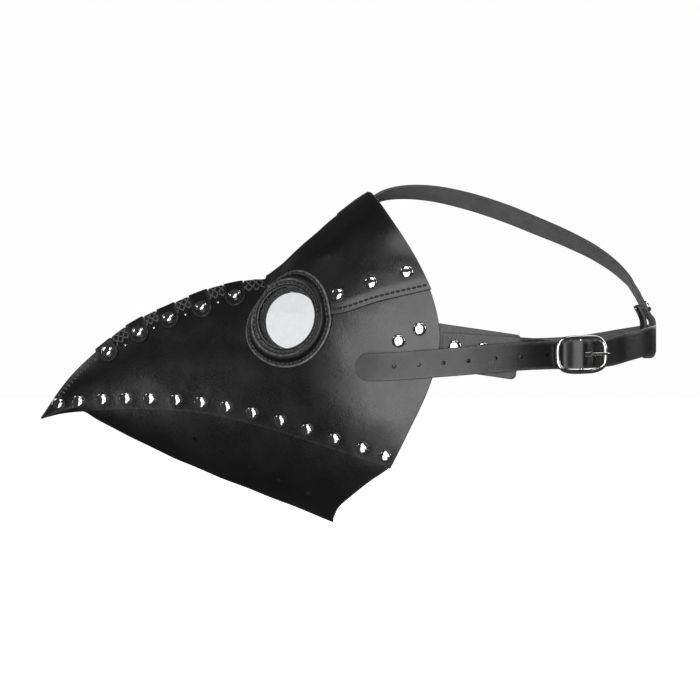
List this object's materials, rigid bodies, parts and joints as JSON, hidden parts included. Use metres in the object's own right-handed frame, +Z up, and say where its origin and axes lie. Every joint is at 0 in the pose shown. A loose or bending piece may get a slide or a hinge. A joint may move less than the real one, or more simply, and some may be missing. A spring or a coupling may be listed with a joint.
{
  "type": "plague doctor mask",
  "caption": "Beaked leather half-head mask with riveted panels, round clear eye lenses, and a buckled rear strap joined to a crown strap.",
  "frame": {"origin": "centre of the face opening, on the mask's middle plane", "axes": "+Z up when worn, -Y forwards along the beak, +Y to the back of the head, +X to the wearer's left, where the buckle is"},
  "size_m": [0.1562, 0.4086, 0.2248],
  "materials": {
    "shell_leather": "black satin leather with a fine grain",
    "strap_leather": "black satin leather, slightly worn edges",
    "rivet_metal": "polished nickel",
    "buckle_metal": "polished nickel",
    "lens_clear": "clear, glossy, slightly grey"
  },
  "bodies": {
    "mask": {"left_side_panel": "shell_leather", "right_side_panel": "shell_leather", "forehead_panel": "shell_leather", "chin_panel": "shell_leather", "crown_patch": "shell_leather", "ridge_band_1": "shell_leather", "ridge_band_2": "shell_leather", "ridge_band_3": "shell_leather", "ridge_band_4": "shell_leather", "ridge_band_5": "shell_leather", "left_eye_ring": "shell_leather", "right_eye_ring": "shell_leather", "left_lens_retainer": "shell_leather", "right_lens_retainer": "shell_leather", "left_anchor_tab": "strap_leather", "right_anchor_tab": "strap_leather", "rear_strap": "strap_leather", "buckle_strap": "strap_leather", "crown_strap": "strap_leather", "left_ridge_rivet_1": "rivet_metal", "left_ridge_rivet_2": "rivet_metal", "left_ridge_rivet_3": "rivet_metal", "left_ridge_rivet_4": "rivet_metal", "left_ridge_rivet_5": "rivet_metal", "right_ridge_rivet_1": "rivet_metal", "right_ridge_rivet_2": "rivet_metal", "right_ridge_rivet_3": "rivet_metal", "right_ridge_rivet_4": "rivet_metal", "right_ridge_rivet_5": "rivet_metal", "left_brow_rivet_1": "rivet_metal", "left_brow_rivet_2": "rivet_metal", "left_brow_rivet_3": "rivet_metal", "right_brow_rivet_1": "rivet_metal", "right_brow_rivet_2": "rivet_metal", "right_brow_rivet_3": "rivet_metal", "left_tab_rivet_1": "rivet_metal", "left_tab_rivet_2": "rivet_metal", "right_tab_rivet_1": "rivet_metal", "right_tab_rivet_2": "rivet_metal", "left_strap_rivet_1": "rivet_metal", "left_strap_rivet_2": "rivet_metal", "right_strap_rivet_1": "rivet_metal", "right_strap_rivet_2": "rivet_metal", "left_lens": "lens_clear", "right_lens": "lens_clear", "buckle_frame": "buckle_metal"},
    "tongue": {"buckle_tongue": "buckle_metal"},
    "loop": {"crown_loop": "strap_leather", "loop_rivet": "rivet_metal"}
  },
  "joints": [
    {"name": "tongue_swing", "type": "hinge", "parent": "mask", "child": "tongue", "pos_m": [0.06604, 0.11053, -0.0061], "axis": [-0.0081, 0.0289, -0.9995], "range_deg": [0, 35]},
    {"name": "loop_slide", "type": "slide", "parent": "mask", "child": "loop", "axis": [1, 0, 0], "range_m": [-0.012, 0.012]}
  ]
}
